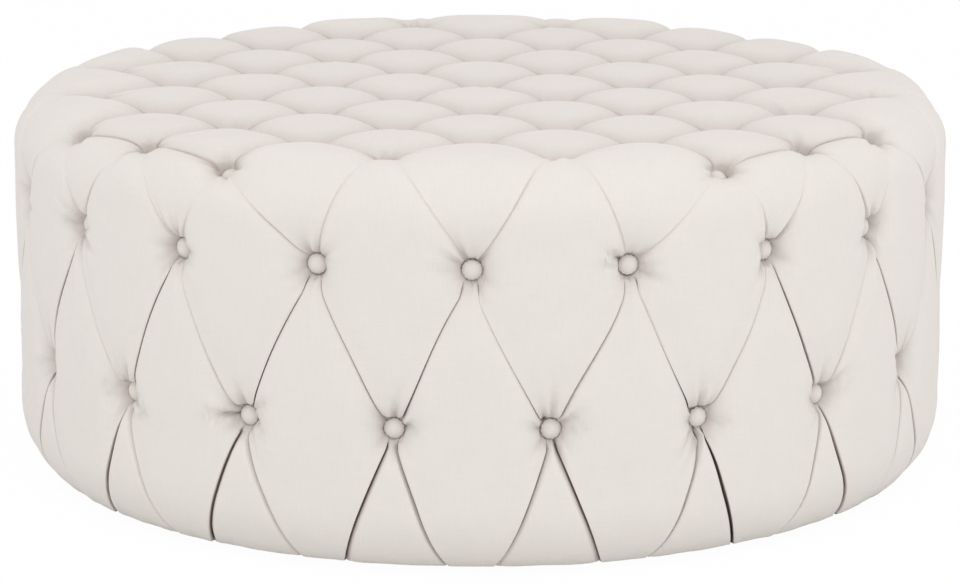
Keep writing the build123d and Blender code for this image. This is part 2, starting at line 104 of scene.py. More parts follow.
# Distances from a tuft between which a pleat's slit opens, by pleat and by ring of tufts
SLIT_OPENS = {
    ("top", "inner"): (10 * MM, 26 * MM),
    ("top", "edge"): (4 * MM, 12 * MM),
    ("shoulder", "upper"): (8 * MM, 14 * MM),
    ("shoulder", "edge"): (30 * MM, 95 * MM),
    ("side", "upper"): (11 * MM, 28 * MM),
    ("side", "lower"): (9 * MM, 20 * MM),
    ("hem", "lower"): (9 * MM, 20 * MM),
}

# Pillows: how quickly they rise from their pleats, and how low the crown stays
PillowKind = namedtuple("PillowKind", "flatness sag")
TOP_PILLOW = PillowKind(2.5, 6.0 * MM)
RIM_PILLOW = PillowKind(2.2, 3.0 * MM)
SIDE_PILLOW = PillowKind(2.6, 0)

# Seat of the cloth round a button
SEAT_RADIUS = 10.6 * MM
SEAT_EDGE = 16 * MM
SEAT_RISE = 3.2 * MM

# Mesh of the cover: distances from a pleat at which it has a row of points, number of rows
# between these, and how near to each other two points are joined
FINE_ROWS = [row * MM for row in (0, 0.45, 0.9, 1.4, 2.1, 3.1, 4.3, 5.7, 7.3, 9.1, 11.1, 13.3,
                                  15.7, 18.3, 21.1, 24.1, 27.3)]
MIDDLE_ROWS = 14
TYPICAL_EDGE = 116 * MM
WELD_GRID = 0.01 * MM

# Hollow round each tuft: a narrow dip in a wide funnel
DIP_REACH = {"inner": 12 * MM, "edge": 11 * MM, "upper": 11 * MM, "lower": 11 * MM}
DIP_POWER = 1.35
FUNNEL_DEPTH = {"inner": 0, "edge": 1.5 * MM, "upper": 5 * MM, "lower": 5 * MM}
FUNNEL_REACH = 22 * MM
HOLLOW_SPAN = 5 * FUNNEL_REACH

# Creases that run out of each tuft: least number and the one past the most, ranges of their
# sizes, where they rise from the hollow, how they fade and widen, and the ridges beside them
WRINKLES = {"inner": (0, 3), "edge": (5, 9), "upper": (9, 14), "lower": (9, 14)}
WRINKLE_LENGTH = 16 * MM, 48 * MM
WRINKLE_DEPTH = 3.0 * MM, 9.0 * MM
WRINKLE_WIDTH = 1.8 * MM, 3.0 * MM
WRINKLE_RISES = 6 * MM, 13 * MM
WRINKLE_SPAN = 2.2
WRINKLE_FADE = 2
WRINKLE_WIDENS = 0.6, 1.5
WRINKLE_RIDGE = 1.7
RIDGE_SHARE = 0.35

# Long creases of the lower tufts: length, depth and width; then the turn from outwards, the
# chance and the scale of each
LONG_WRINKLE = 45 * MM, 8.0 * MM, 2.6 * MM
LONG_WRINKLE_WAYS = (math.pi, 0.85, 1.0), (math.pi / 2, 0.5, 0.65), (-math.pi / 2, 0.5, 0.65)
LONG_WRINKLE_TURN = 0.2
LONG_WRINKLE_LENGTHS = 0.7, 1.2

# Slow rise and fall of the padding
UNEVEN_WAVES = 9
UNEVEN_LENGTH = 60 * MM, 190 * MM
UNEVEN_DEPTH = 0.5 * MM

# Buttons, as the frame has them: a dome over a rim, on a cone that narrows to the foot. The waist
# is given as shares of the radius and of the cone's height, and the cloth is gathered from a
# distance along it that lies past the dome's middle.
BUTTON_RADIUS = 10 * MM
BUTTON_DOME = 5 * MM
BUTTON_RIM = 1.6 * MM
BUTTON_CONE = 4.6 * MM
BUTTON_SEAT = 0.3 * MM
BUTTON_FOOT = 3 * MM
BUTTON_ROUNDING = 1.3 * MM
BUTTON_APEX = BUTTON_SEAT + BUTTON_CONE + BUTTON_RIM + BUTTON_DOME
WAIST_SHARES = 0.72, 0.55
DOME_RINGS = 8
BUTTON_SEGMENTS = 48
BUTTON_GATHERS = 13
GATHERS_SPREAD = 2
GATHER_DEPTH = 0.35 * MM
GATHER_RUN = 0.8 * BUTTON_RADIUS, 1.25 * BUTTON_RADIUS
BUTTON_TILT = 4.0
BUTTON_NODES = {
    "inner": "top_buttons",
    "edge": "edge_buttons",
    "upper": "upper_side_buttons",
    "lower": "lower_side_buttons",
}

# Painted shade: the cloth is darkened towards this colour where it is sunk, in the hollows round
# the tufts, the valleys between pillows and the slits, where shade falls.
# Its colour, the share of it that depth alone gives, and the depths between which it comes in, for
# the hollows and for the slits
PAINTED_SHADE_COLOR = 0.32, 0.235, 0.20, 1
PAINTED_SHADE_SHARE = 0.27
PAINTED_SHADE_DEPTHS = 2 * MM, 24 * MM
PAINTED_SLIT_SHADE_DEPTHS = 0.8 * MM, 4.5 * MM

# Cloth: colours, surface, size of the threads, and how the yarn's unevenness shades and lifts it
LINEN_COLOR = 0.757, 0.715, 0.676
BUTTON_COLOR = 0.745, 0.70, 0.66
LINEN_SURFACE = {
    "Roughness": 0.92,
    "Specular IOR Level": 0.18,
    "Sheen Weight": 0.12,
    "Sheen Roughness": 0.5,
}
THREAD = 0.9 * MM
THREAD_WANDER = {"Distortion": 1.2, "Detail": 2.0, "Detail_Scale": 0.4}
SLUBS = {"Scale": 700.0, "Detail": 3.0, "Roughness": 0.6}
WARP_STRETCH = (1.0, 0.06, 1.0)
WEFT_STRETCH = (0.06, 1.0, 1.0)
YARN_RANGE = 0.7, 1.3
YARN_SHADES = 0.972, 1.018
YARN_LIFT = 0.8
WEAVE_BUMP = 0.2
WEAVE_HEIGHT = 0.3 * MM

# Finishes of the frame's own materials, by slot: colour, share of it that the dark parts keep,
# texture and its settings, stretch of the texture, height of its bump, and the surface's values
Finish = namedtuple("Finish", "color dark texture settings stretch bump surface")
PLIES = {"bands_direction": "Z", "Scale": 130.0, "Distortion": 3.0, "Detail": 3.0}
RINGS = {"wave_type": "RINGS", "rings_direction": "X", "Scale": 45.0, "Distortion": 5.0,
         "Detail": 3.0}
STRANDS = {"bands_direction": "DIAGONAL", "Scale": 260.0, "Distortion": 1.0}
FIBRES = {"Scale": 900.0, "Detail": 6.0, "Distortion": 1.5}
BRUSHED = 0.85, "Noise", {"Scale": 400.0, "Detail": 4.0}, (0.1, 1, 1), 0.03 * MM
FINISHES = {
    "foam": Finish((0.83, 0.74, 0.50), 0.8, "Voronoi", {"Scale": 900.0}, (1, 1, 1), 0.4 * MM,
                   {"Roughness": 0.95}),
    "plywood": Finish((0.62, 0.44, 0.25), 0.78, "Wave", PLIES, (0.05, 0.01, 1), 0.15 * MM,
                      {"Roughness": 0.6}),
    "timber": Finish((0.68, 0.48, 0.28), 0.75, "Wave", RINGS, (0.12, 1, 1), 0.15 * MM,
                     {"Roughness": 0.55}),
    "twine": Finish((0.72, 0.68, 0.58), 0.7, "Wave", STRANDS, (1, 1, 1), 0.2 * MM,
                    {"Roughness": 0.8, "Sheen Weight": 0.2}),
    "washer_steel": Finish((0.62, 0.62, 0.64), *BRUSHED, {"Metallic": 1.0, "Roughness": 0.32}),
    "staple_steel": Finish((0.68, 0.68, 0.69), *BRUSHED, {"Metallic": 1.0, "Roughness": 0.28}),
    "screw_steel": Finish((0.62, 0.58, 0.44), *BRUSHED, {"Metallic": 1.0, "Roughness": 0.35}),
    "dust_cloth": Finish((0.022, 0.022, 0.024), 0.45, "Noise", FIBRES, (1, 0.35, 1), 0.25 * MM,
                         {"Roughness": 0.85, "Sheen Weight": 0.15}),
    "glide_plastic": Finish((0.03, 0.028, 0.025), 0.75, "Noise", {"Scale": 260.0, "Detail": 5.0},
                            (1, 1, 1), 0.05 * MM, {"Roughness": 0.42}),
}
PATTERN_RANGE = 0.3, 0.7
PATTERN_BUMP = 0.5

# Camera, as the photograph's perspective gives it
PIXEL_WIDTH = 960
SENSOR = 36.0
FOCAL_PIXELS = 3345.0
CAMERA_DISTANCE = 3.565
CAMERA_HEIGHT = 1.013
CAMERA_PITCH = 13.3
CAMERA_TURN = 0.9

# Stage: size and colour of the floor, how much of it is plain white to the camera, and how
# brightly the white surroundings light the table
FLOOR_SIDE = 14.0
FLOOR_WHITE = 0.9
FLOOR_GLOW = 0.97
SKY_STRENGTH = 0.86

# Lamps: place, side of the square and power; all are turned to one point
Lamp = namedtuple("Lamp", "name place size power")
LAMPS = (
    Lamp("key", (0, -2.7, 2.9), 2.8, 26),
    Lamp("left_fill", (-2.6, -1.2, 1.8), 2.4, 8),
    Lamp("right_fill", (2.6, -1.2, 1.8), 2.4, 12),
)
LAMP_AIM = 0, 0, 0.25

RANDOM_SEED = 11
rng = np.random.default_rng(RANDOM_SEED)

flat_radius = RADIUS - SHOULDER
shoulder_z = CREST - SHOULDER
hem_turn = 2 * math.atan2(DRAW_IN, DRAW_HEIGHT)
hem_arc_radius = DRAW_HEIGHT / math.sin(hem_turn)
wall_foot_z = HEM_Z + DRAW_HEIGHT
shoulder_end = flat_radius + SHOULDER * math.pi / 2
wall_end = shoulder_end + shoulder_z - wall_foot_z
hem_end = wall_end + hem_arc_radius * hem_turn
pitch = (flat_radius - EDGE_ROW_INSET) / EDGE_ROW
upper_row = shoulder_end + UPPER_ROW_DROP
lower_row = shoulder_end + shoulder_z - (HEM_Z + LOWER_ROW_HEIGHT)
tuft_step = 360 / SIDE_TUFTS
hem_pleat_angle = math.degrees(HEM_PLEAT_SPREAD / RADIUS)


def spread():
    """Shares along an edge: fine rows near both ends, even ones between."""
    last = FINE_ROWS[-1]
    inside = np.linspace(last, TYPICAL_EDGE - last, MIDDLE_ROWS + 2)[1:-1]
    ends = [TYPICAL_EDGE - row for row in reversed(FINE_ROWS)]
    return np.array([*FINE_ROWS, *inside, *ends]) / TYPICAL_EDGE


SPREAD = spread()


def smooth_step(value, low, high):
    """Rises from 0 to 1 between two values."""
    share = np.clip((value - low) / (high - low), 0, 1)
    return share * share * (3 - 2 * share)


def profile(run):
    """Radius, height and outward direction of the crest line at each run from the middle."""
    shoulder = np.clip((run - flat_radius) / SHOULDER, 0, math.pi / 2)
    foot = np.maximum((run - wall_end) / hem_arc_radius, 0)
    out = np.where(run > wall_end, np.cos(foot), np.sin(shoulder))
    up = np.where(run > wall_end, -np.sin(foot), np.cos(shoulder))
    radius = np.minimum(run, flat_radius) + SHOULDER * np.sin(shoulder)
    radius = radius - hem_arc_radius * (1 - np.cos(foot))
    height = shoulder_z + SHOULDER * np.cos(shoulder)
    height = height - np.clip(run - shoulder_end, 0, wall_end - shoulder_end)
    height = height - hem_arc_radius * np.sin(foot)
    return radius, height, out, up


def crown_points(chart, depth):
    """Points in space of places on the chart, sunk under the crest by their depths."""
    run = np.maximum(np.hypot(chart[..., 0], chart[..., 1]), TINY)
    radius, height, out, up = profile(run)
    scale = (radius - depth * out) / run
    return np.stack([chart[..., 0] * scale, chart[..., 1] * scale, height - depth * up], axis=-1)


def polar(run, degrees):
    """A place on the chart from its run and angle."""
    angle = math.radians(degrees)
    return np.array([run * math.cos(angle), run * math.sin(angle)])


class Pleat:
    """A pleat, or a seamless line inside a pillow, between two places on the chart."""

    def __init__(self, ends, depths, kind, rings=("", "")):
        self.ends, self.depths, self.kind, self.rings = ends, depths, kind, rings
        self.curved = kind.name != "top"
        self.bow, self.wave = kind.sway * rng.uniform(-1, 1, 2) * SWAY_SHARES
        self.gain = rng.uniform(*SLIT_GAIN)
        self.pillows = []
        steps = np.diff(crown_points(self.chart(SPREAD), 0), axis=0)
        self.length = np.sum(np.linalg.norm(steps, axis=-1))

    def chart(self, t):
        """Places along the pleat."""
        first, last = self.ends
        if self.curved:
            a, b = [math.degrees(math.atan2(p[1], p[0])) for p in (first, last)]
            swing = (b - a + 180) % 360 - 180
            angle = np.radians(a + swing * t)
            run = np.hypot(*first) * (1 - t) + np.hypot(*last) * t
            line = np.stack([run * np.cos(angle), run * np.sin(angle)], axis=-1)
        else:
            line = first * (1 - t)[..., None] + last * t[..., None]
        along = last - first
        across = np.array([-along[1], along[0]]) / max(np.hypot(*along), TINY)
        sway = self.bow * np.sin(math.pi * t) + self.wave * np.sin(2 * math.pi * t)
        return line + sway[..., None] * across

    def points(self, t):
        """Places along the pleat with their depths."""
        valley, sharpness = self.kind.valley, self.kind.sharpness
        near = (self.depths[0] - valley) * dimple(t, sharpness)
        far = (self.depths[1] - valley) * dimple(1 - t, sharpness)
        return np.concatenate([self.chart(t), (valley + near + far)[..., None]], axis=-1)

    def opening(self, t):
        """How far the slit is open along the pleat, from 0 to about 1."""
        share = np.full(t.shape, self.gain)
        for ring, way in zip(self.rings, (t, 1 - t)):
            if (self.kind.name, ring) in SLIT_OPENS:
                share = share * smooth_step(way * self.length, *SLIT_OPENS[self.kind.name, ring])
        return share


class Edge:
    """One side of a pillow: a pleat, run forwards or backwards."""

    def __init__(self, pleat, backwards=False):
        self.pleat, self.backwards = pleat, backwards

    def points(self, t):
        return self.pleat.points(1 - t if self.backwards else t)

    def opening(self, t):
        return self.pleat.opening(1 - t if self.backwards else t)


def dimple(t, sharpness):
    """How much of a tuft's extra depth is left at a share of the way along a pleat."""
    return (1 - t) ** sharpness * (1 + sharpness * t)


def tuft_cells():
    """Grid places of the inner tufts and of the edge tufts of the top."""
    reach = range(-EDGE_ROW, EDGE_ROW + 1)
    inner, edge = [], []
    for i in reach:
        for j in reach:
            longest, shortest = max(abs(i), abs(j)), min(abs(i), abs(j))
            if (i + j) % 2 or shortest == EDGE_ROW:
                continue
            outer = longest == EDGE_ROW or shortest == EDGE_ROW - 1
            (edge if outer else inner).append((i, j))
    return inner, edge


inner_cells, edge_cells = tuft_cells()
tufts = {cell: pitch * np.array(cell, float) for cell in inner_cells + edge_cells}
for k in range(SIDE_TUFTS):
    tufts["upper", k] = polar(upper_row, k * tuft_step)
    tufts["lower", k] = polar(lower_row, (k + 0.5) * tuft_step)
pleats = {}


def ring_of(name):
    """Which ring a tuft belongs to, or which line a place of the hem lies on."""
    if name[0] in ("upper", "lower", "foot", "centre"):
        return name[0]
    return "edge" if name in edge_cells else "inner"


def pleat_kind(rings):
    """The kind of pleat that runs between two rings."""
    if "centre" in rings:
        return MIDDLE_LINE
    if "foot" in rings:
        return HEM_PLEAT
    if rings <= {"upper", "lower"}:
        return SIDE_PLEAT
    if "upper" in rings:
        return SHOULDER_PLEAT
    return RIM_PLEAT if rings == {"edge"} else TOP_PLEAT


def side_between(a, b):
    """The pleat between two tufts, made once and shared by the pillows on both sides."""
    if (b, a) in pleats:
        return Edge(pleats[b, a], backwards=True)
    if (a, b) not in pleats:
        rings = ring_of(a), ring_of(b)
        kind = pleat_kind(set(rings))
        depths = [PLEATS_MEET.get(ring, kind.valley) for ring in rings]
        pleats[a, b] = Pleat((tufts[a], tufts[b]), depths, kind, rings)
    return Edge(pleats[a, b])


def hem_side(a, b):
    """Stretch of the hem between two of its places."""
    depths = [HEM_PLEAT.valley if ring_of(end) == "foot" else 0.0 for end in (a, b)]
    return Edge(Pleat((tufts[a], tufts[b]), depths, HEM_LINE))


def held_side(name):
    """A side drawn together in one tuft."""
    depth = PLEATS_MEET[ring_of(name)]
    return Edge(Pleat((tufts[name], tufts[name]), (depth, depth), HELD))


def pillow_swell(u, v):
    return 16 * u * (1 - u) * v * (1 - v)


def skirt_swell(u, v):
    return u * (2 - u) * 4 * v * (1 - v)


def half_skirt_swell(u, v):
    return u * (2 - u) * (1 - v * v)


class Pillow:
    """One pillow: its four sides, how it rises between them, and if it is on the drum's side."""

    def __init__(self, sides, swell, kind, on_side=False):
        self.sides, self.swell, self.kind, self.on_side = sides, swell, kind, on_side
        corners = [side.points(np.array([0.0, 1.0]))[:, :2] for side in sides[:2]]
        self.run = np.mean(np.linalg.norm(np.concatenate(corners), axis=-1))
        for side in sides:
            side.pleat.pillows.append(self)

    def grid(self):
        """Chart places and depths of the pillow's points, and how deep in a slit each is."""
        near, far, left, right = self.sides
        u, v = np.meshgrid(SPREAD, SPREAD, indexing="ij")
        u3, v3 = u[..., None], v[..., None]
        ends = np.array([0.0, 1.0])
        near_ends, far_ends = near.points(ends), far.points(ends)
        grid = (1 - v3) * near.points(SPREAD)[:, None] + v3 * far.points(SPREAD)[:, None]
        grid += (1 - u3) * left.points(SPREAD)[None] + u3 * right.points(SPREAD)[None]
        grid -= (1 - u3) * (1 - v3) * near_ends[0] + u3 * (1 - v3) * near_ends[1]
        grid -= (1 - u3) * v3 * far_ends[0] + u3 * v3 * far_ends[1]
        if self.swell is half_skirt_swell:
            grid[..., 2] = self.smooth_middle(near, far, left, right)
        held = (1 - self.swell(u, v)) ** self.kind.flatness
        depth = grid[..., 2] * held + self.kind.sag * (1 - held)
        return self.open_slits(grid[..., :2], depth)

    def smooth_middle(self, near, far, left, right):
        """Depths of a half skirt, with no crease along its seamless near side."""
        u, v = SPREAD[:, None], SPREAD[None] ** 2
        near, far, left, right = [side.points(SPREAD)[:, 2] for side in (near, far, left, right)]
        ruled = (1 - v) * near[:, None] + v * far[:, None] + (1 - u) * left[None] + u * right[None]
        corners = ((1 - u) * ((1 - v) * near[0] + v * far[0])
                   + u * ((1 - v) * near[-1] + v * far[-1]))
        return ruled - corners

    def open_slits(self, chart, depth):
        """Sinks a slit along each pleat, and laps the upper pillow's lip over the lower one's."""
        base = chart.copy()
        in_slit = np.zeros(depth.shape)
        lines = base[:, :1], base[:, -1:], base[:1], base[-1:]
        shares = SPREAD[:, None], SPREAD[:, None], SPREAD[None], SPREAD[None]
        across = SPREAD[None], 1 - SPREAD[None], SPREAD[:, None], 1 - SPREAD[:, None]
        for side, line, share, cross in zip(self.sides, lines, shares, across):
            kind = side.pleat.kind
            if kind.slit == 0:
                continue
            away = base - line
            reach = true_length(base, away)
            opening = side.opening(share) * (1 - cross) ** 2
            over = self.run < max(pillow.run for pillow in side.pleat.pillows) - LEAST_DROP
            lip = UPPER_LIP if over else LOWER_LIP
            slope = np.exp(-(reach / lip.slope) ** 2)
            sunk = lip.sunk_share * kind.lap * (1 - slope) * np.exp(-(reach / STEP_REACH) ** 2)
            depth = depth + opening * (kind.slit * slope + sunk)
            in_slit = in_slit + opening * kind.slit * slope
            ratio = reach / LAP_REACH
            shift = lip.lap_share * kind.lap * opening * ratio * np.exp((1 - ratio ** 2) / 2)
            chart = chart + away / np.maximum(reach, TINY)[..., None] * shift[..., None]
        return chart, depth, in_slit

    def cloth(self, chart):
        """Where each point lies on the cloth, along its threads."""
        if not self.on_side:
            return chart
        middle = chart.reshape(-1, 2).mean(axis=0)
        turned = chart @ np.array([[middle[0], -middle[1]], [middle[1], middle[0]]])
        angle = math.atan2(middle[1], middle[0]) + np.arctan2(turned[..., 1], turned[..., 0])
        return np.stack([RADIUS * angle, np.hypot(chart[..., 0], chart[..., 1])], axis=-1)


def true_length(place, step):
    """Length on the drum of steps taken on the chart, which stretches sideways over the rim."""
    run = np.maximum(np.hypot(place[..., 0], place[..., 1]), TINY)
    out = (place[..., 0] * step[..., 0] + place[..., 1] * step[..., 1]) / run
    round_it = (place[..., 0] * step[..., 1] - place[..., 1] * step[..., 0]) / run
    return np.hypot(out, round_it * profile(run)[0] / run)


def quad_pillow(a, b, c, d, kind, on_side=False):
    """Pillow between four tufts, named in order round it."""
    sides = side_between(a, b), side_between(d, c), side_between(a, d), side_between(b, c)
    return Pillow(sides, pillow_swell, kind, on_side)


def top_pillows():
    """Pillows of the top, out to the upper row of side buttons."""
    pillows = []
    reach = range(-EDGE_ROW, EDGE_ROW + 1)
    for i, j in [(i, j) for i in reach for j in reach if (i + j) % 2]:
        ring = [(i + 1, j), (i, j + 1), (i - 1, j), (i, j - 1)]
        present = [cell in tufts for cell in ring]
        upper = "upper", round(math.degrees(math.atan2(j, i)) / tuft_step) % SIDE_TUFTS
        if sum(present) == 4:
            pillows.append(quad_pillow(*ring, TOP_PILLOW))
        elif sum(present) == 3:
            gap = present.index(False)
            b, c, d = [ring[(gap + step) % 4] for step in (1, 2, 3)]
            pillows.append(quad_pillow(upper, b, c, d, RIM_PILLOW))
        elif sum(present) == 2:
            b, c = [cell for cell in ring if cell in tufts]
            falls = side_between(upper, b), side_between(upper, c)
            sides = *falls, held_side(upper), side_between(b, c)
            pillows.append(Pillow(sides, pillow_swell, RIM_PILLOW))
    return pillows


def side_pillows():
    """Pillows of the side, from the edge tufts to the hem."""
    order = sorted(edge_cells, key=lambda cell: math.atan2(cell[1], cell[0]) % math.tau)
    for k in range(SIDE_TUFTS):
        tufts["centre", k] = polar(hem_end, k * tuft_step)
        for side in (-1, 1):
            turn = (k + 0.5) * tuft_step + side * hem_pleat_angle
            tufts["foot", k, side] = polar(hem_end, turn)
    pillows = []
    for k, edge in enumerate(order):
        lower, before, after = ("lower", k), ("upper", k), ("upper", (k + 1) % SIDE_TUFTS)
        pillows.append(quad_pillow(edge, before, lower, after, SIDE_PILLOW, True))
        feet = ("foot", k, -1), ("foot", k, 1)
        falls = [side_between(lower, foot) for foot in feet]
        pillows.append(Pillow((*falls, held_side(lower), hem_side(*feet)), skirt_swell,
                              SIDE_PILLOW, True))
        centres = ("centre", k), ("centre", (k + 1) % SIDE_TUFTS)
        for upper, centre, foot in zip((before, after), centres, feet):
            sides = (side_between(upper, centre), side_between(lower, foot),
                     side_between(upper, lower), hem_side(centre, foot))
            pillows.append(Pillow(sides, half_skirt_swell, SIDE_PILLOW, True))
    return pillows


def build_cover(name):
    """The whole tufted cover as one object, with the places on its cloth kept for the weave."""
    count = len(SPREAD)
    parts = []
    for pillow in top_pillows() + side_pillows():
        chart, depth, in_slit = pillow.grid()
        parts.append((chart.reshape(-1, 2), depth.reshape(-1), in_slit.reshape(-1),
                      pillow.cloth(chart).reshape(-1, 2)))
    chart, depth, in_slit, cloth = [np.concatenate(part) for part in zip(*parts)]
    depth = seat_buttons(chart, depth + relief(chart))
    points = crown_points(chart, depth)
    index = np.arange(len(points)).reshape(-1, count, count)
    faces = np.stack([index[:, :-1, :-1], index[:, 1:, :-1], index[:, 1:, 1:], index[:, :-1, 1:]],
                     axis=-1).reshape(-1, 4)
    points, faces, cloth = turn_hem_in(points, faces, cloth, hem_ring(index))
    # Painted shade: how far each point's colour is darkened, by its depth under the crest and by
    # how deep it lies in a slit
    painted_shade = np.zeros(len(points))
    painted_shade[:len(depth)] = np.maximum(PAINTED_SHADE_SHARE * smooth_step(depth, *PAINTED_SHADE_DEPTHS),
                                     smooth_step(in_slit, *PAINTED_SLIT_SHADE_DEPTHS))
    return weld(name, points, faces, cloth, painted_shade)


def hem_ring(index):
    """The points of the hem in order round the drum, from each pillow's grid of point numbers.

    The last pillows are those of the side: for each lower tuft the diamond over it, the skirt
    under it, and the half skirts before and after it.
    """
    lowest = index[-4 * SIDE_TUFTS:, -1]
    ring = []
    for _, skirt, before, after in lowest.reshape(SIDE_TUFTS, 4, -1):
        ring.extend([*before[:-1], *skirt[:-1], *after[:0:-1]])
    return np.array(ring)


def turn_hem_in(points, faces, cloth, ring):
    """Adds the cloth that is turned in under the frame from the hem."""
    radius = np.hypot(points[ring, 0], points[ring, 1])
    rows, row_cloth = [], []
    for inset in HEM_TURN:
        scale = (np.minimum(radius, radius.max() - inset) / radius)[:, None]
        rows.append(np.column_stack([points[ring, :2] * scale, np.full(len(ring), HEM_Z)]))
        row_cloth.append(cloth[ring] + (0, inset))
    count, width = len(points), len(ring)
    band = [ring] + [count + width * row + np.arange(width) for row in range(len(rows))]
    for upper, lower in zip(band, band[1:]):
        strip = np.stack([upper, np.roll(upper, -1), np.roll(lower, -1), lower], axis=-1)
        faces = np.concatenate([faces, strip])
    return np.concatenate([points, *rows]), faces, np.concatenate([cloth, *row_cloth])


def weld(name, points, faces, cloth, painted_shade):
    """Mesh object of the faces, with the points that lie in one place joined."""
    keys = np.round(points / WELD_GRID).astype(np.int64)
    _, first, joined = np.unique(keys, axis=0, return_index=True, return_inverse=True)
    joined = joined.reshape(-1)
    solid_faces, loop_points = [], []
    for face in faces:
        ring = []
        for corner in face:
            if joined[corner] not in [joined[other] for other in ring]:
                ring.append(corner)
        if len(ring) > 2:
            solid_faces.append([int(joined[corner]) for corner in ring])
            loop_points.extend(ring)
    mesh = bpy.data.meshes.new(name)
    mesh.from_pydata(points[first].tolist(), [], solid_faces)
    keep_cloth(mesh, cloth[loop_points], painted_shade[loop_points])
    return link_mesh(name, mesh)


def keep_cloth(mesh, cloth, painted_shade):
    """Stores each face corner's place on the cloth, for the weave, and how much painted shade
    darkens it.
    """
    layer = mesh.attributes.new("cloth", "FLOAT_VECTOR", "CORNER")
    places = np.zeros((len(cloth), 3), np.float32)
    places[:, :2] = cloth
    layer.data.foreach_set("vector", places.reshape(-1))
    # Painted shade: how far the cloth's colour is darkened at each corner
    layer = mesh.attributes.new("painted_shade", "FLOAT", "CORNER")
    layer.data.foreach_set("value", painted_shade.astype(np.float32))


def link_mesh(name, mesh):
    """Smooth-shaded object of a mesh, its faces all turned outwards."""
    solid = bmesh.new()
    solid.from_mesh(mesh)
    bmesh.ops.recalc_face_normals(solid, faces=solid.faces)
    solid.to_mesh(mesh)
    solid.free()
    mesh.polygons.foreach_set("use_smooth", [True] * len(mesh.polygons))
    piece = bpy.data.objects.new(name, mesh)
    bpy.context.scene.collection.objects.link(piece)
    return piece


def tuft_wrinkles():
    """Creases that start at the tufts: place, direction, length, depth and width."""
    creases = []
    for name, place in list(tufts.items()):
        ring = ring_of(name)
        if ring not in WRINKLES:
            continue
        outward = math.atan2(place[1], place[0])
        for _ in range(rng.integers(*WRINKLES[ring])):
            creases.append((place, rng.uniform(0, math.tau), rng.uniform(*WRINKLE_LENGTH),
                            rng.uniform(*WRINKLE_DEPTH), rng.uniform(*WRINKLE_WIDTH)))
        for way, chance, scale in LONG_WRINKLE_WAYS if ring == "lower" else ():
            length, depth, width = LONG_WRINKLE
            if rng.uniform() < chance:
                turn = outward + way + rng.uniform(-1, 1) * LONG_WRINKLE_TURN
                length = length * scale * rng.uniform(*LONG_WRINKLE_LENGTHS)
                creases.append((place, turn, length, depth * scale, width))
    return creases


def round_tuft(chart, place):
    """Steps from a tuft to places on the chart, in true lengths along the drum's own directions."""
    step = chart - place
    run = np.hypot(*place)
    if run < pitch / 2:
        return step
    squeeze = profile(run)[0] / run
    out, across = place / run, np.array([-place[1], place[0]]) / run
    return (step @ out)[:, None] * out + squeeze * (step @ across)[:, None] * across


def near_tuft(chart, place, span):
    """Numbers of the chart's places within a distance of a tuft."""
    return np.flatnonzero(np.hypot(*(chart - place).T) < span)


def relief(chart):
    """Extra depth of the hollows and creases round the tufts, and of the padding's unevenness."""
    extra = unevenness(chart)
    for name, place in tufts.items():
        if ring_of(name) in TUFT_DEPTHS:
            sink_hollow(extra, chart, place, ring_of(name))
    for crease in tuft_wrinkles():
        sink_crease(extra, chart, *crease)
    return extra


def sink_hollow(extra, chart, place, ring):
    """Adds the depth of the dip and the funnel round one tuft."""
    near = near_tuft(chart, place, HOLLOW_SPAN)
    reach = np.hypot(*round_tuft(chart[near], place).T)
    dip = TUFT_DEPTHS[ring] - PLEATS_MEET[ring] - FUNNEL_DEPTH[ring]
    extra[near] += dip * np.exp(-(reach / DIP_REACH[ring]) ** DIP_POWER)
    extra[near] += FUNNEL_DEPTH[ring] * np.exp(-(reach / FUNNEL_REACH) ** 2)


def sink_crease(extra, chart, place, turn, length, depth, width):
    """Adds the depth of one crease, with a low ridge along each side of it."""
    near = near_tuft(chart, place, WRINKLE_SPAN * length)
    step = round_tuft(chart[near], place)
    along = step @ np.array([math.cos(turn), math.sin(turn)])
    across = step @ np.array([-math.sin(turn), math.cos(turn)])
    share = np.clip(along / length, 0, None)
    rise = smooth_step(along, *WRINKLE_RISES) * np.exp(-WRINKLE_FADE * share ** 2)
    narrow, widening = WRINKLE_WIDENS
    side = across / (width * (narrow + widening * share))
    ridges = np.exp(-(side - WRINKLE_RIDGE) ** 2) + np.exp(-(side + WRINKLE_RIDGE) ** 2)
    extra[near] += depth * rise * (np.exp(-side ** 2) - RIDGE_SHARE * ridges)


def seat_buttons(chart, depth):
    """Presses the cloth flat under each button, with a narrow gap round its rim."""
    for name, place in tufts.items():
        if ring_of(name) not in TUFT_DEPTHS:
            continue
        near = near_tuft(chart, place, 2 * SEAT_EDGE)
        reach = np.hypot(*round_tuft(chart[near], place).T)
        seat = TUFT_DEPTHS[ring_of(name)] - SEAT_RISE
        pressed = seat * (1 - smooth_step(reach, SEAT_RADIUS, SEAT_EDGE))
        depth[near] = np.maximum(depth[near], pressed)
    return depth


def unevenness(chart):
    """Slow rise and fall of the padding, a sum of a few waves in random directions."""
    total = np.zeros(len(chart))
    for _ in range(UNEVEN_WAVES):
        turn, phase = rng.uniform(0, math.tau, 2)
        length = rng.uniform(*UNEVEN_LENGTH)
        travel = chart @ np.array([math.cos(turn), math.sin(turn)])
        total += np.sin(math.tau * travel / length + phase)
    return total * UNEVEN_DEPTH / math.sqrt(UNEVEN_WAVES)


